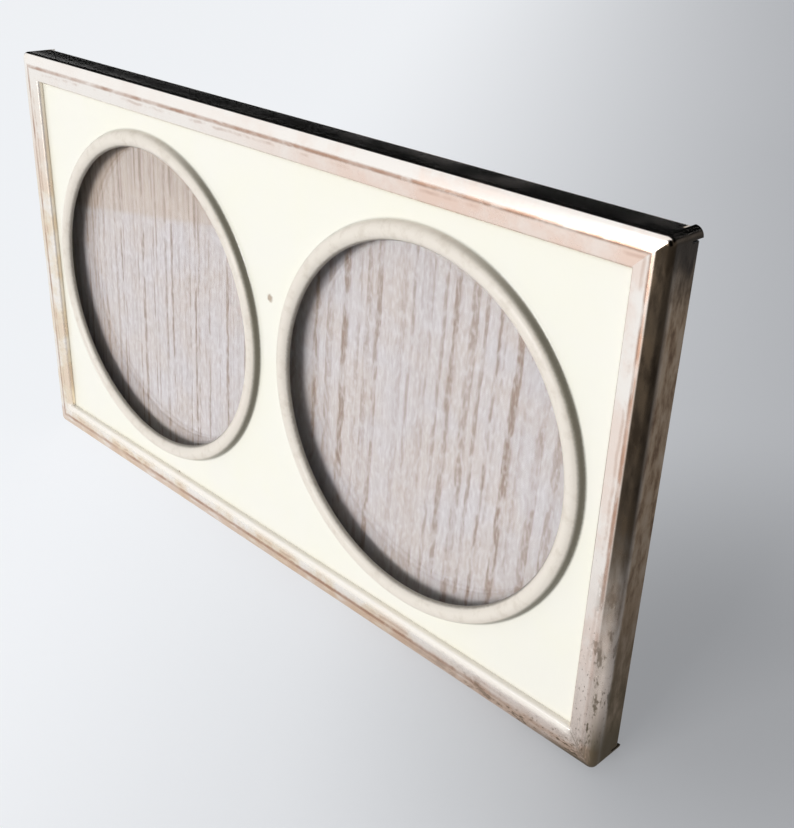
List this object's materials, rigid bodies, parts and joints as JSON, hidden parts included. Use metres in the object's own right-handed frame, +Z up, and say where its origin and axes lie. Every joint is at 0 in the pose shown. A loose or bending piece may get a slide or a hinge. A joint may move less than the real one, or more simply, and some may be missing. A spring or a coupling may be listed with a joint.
{
  "type": "double photo frame",
  "caption": "Double photo frame: pressed plated metal surround, cream enamelled panel with raised rings round two circular windows, glass, and an easel back with a folding strut.",
  "frame": {"origin": "centre of the bounding box, on the surface the frame stands on", "axes": "+X to the right seen from the front, -Y out of the front towards the viewer, +Z up; the face leans back from Z by the lean angle"},
  "size_m": [0.1606, 0.0361, 0.0865],
  "materials": {
    "plated_metal": "silver-toned plate worn to copper on the edges, brown tarnish",
    "cream_enamel": "glossy baked cream enamel",
    "window_glass": "clear polished",
    "grain_paper": "matt printed wood-grain paper",
    "grey_card": "plain grey card",
    "covered_board": "dark grained paper over board",
    "hinge_steel": "satin nickel plate",
    "rivet_steel": "dull plated"
  },
  "bodies": {
    "frame": {"frame_shell": "plated_metal", "mat_panel": "cream_enamel", "glass_pane": "window_glass", "insert_left": "grain_paper", "insert_right": "grain_paper", "filler_board": "grey_card", "back_board": "covered_board", "hinge_plate": "hinge_steel", "hinge_plate_rivets": "rivet_steel", "hinge_pin": "hinge_steel", "button_rivets": "rivet_steel"},
    "easel": {"strut_board": "covered_board", "strut_leaf": "hinge_steel", "strut_leaf_rivets": "rivet_steel"},
    "button_top_left": {"button_top_left": "hinge_steel"},
    "button_bottom_left": {"button_bottom_left": "hinge_steel"},
    "button_top_right": {"button_top_right": "hinge_steel"},
    "button_bottom_right": {"button_bottom_right": "hinge_steel"}
  },
  "joints": [
    {"name": "strut_hinge", "type": "hinge", "parent": "frame", "child": "easel", "pos_m": [0, 0.00373, 0.06427], "axis": [1, 0, 0], "range_deg": [-24, 0]},
    {"name": "button_top_left_turn", "type": "hinge", "parent": "frame", "child": "button_top_left", "pos_m": [-0.045, 0.00595, 0.0836], "axis": [0, 0.9781, -0.2079], "continuous": true},
    {"name": "button_bottom_left_turn", "type": "hinge", "parent": "frame", "child": "button_bottom_left", "pos_m": [-0.045, -0.01144, 0.00178], "axis": [0, 0.9781, -0.2079], "continuous": true},
    {"name": "button_top_right_turn", "type": "hinge", "parent": "frame", "child": "button_top_right", "pos_m": [0.045, 0.00595, 0.0836], "axis": [0, 0.9781, -0.2079], "continuous": true},
    {"name": "button_bottom_right_turn", "type": "hinge", "parent": "frame", "child": "button_bottom_right", "pos_m": [0.045, -0.01144, 0.00178], "axis": [0, 0.9781, -0.2079], "continuous": true}
  ]
}
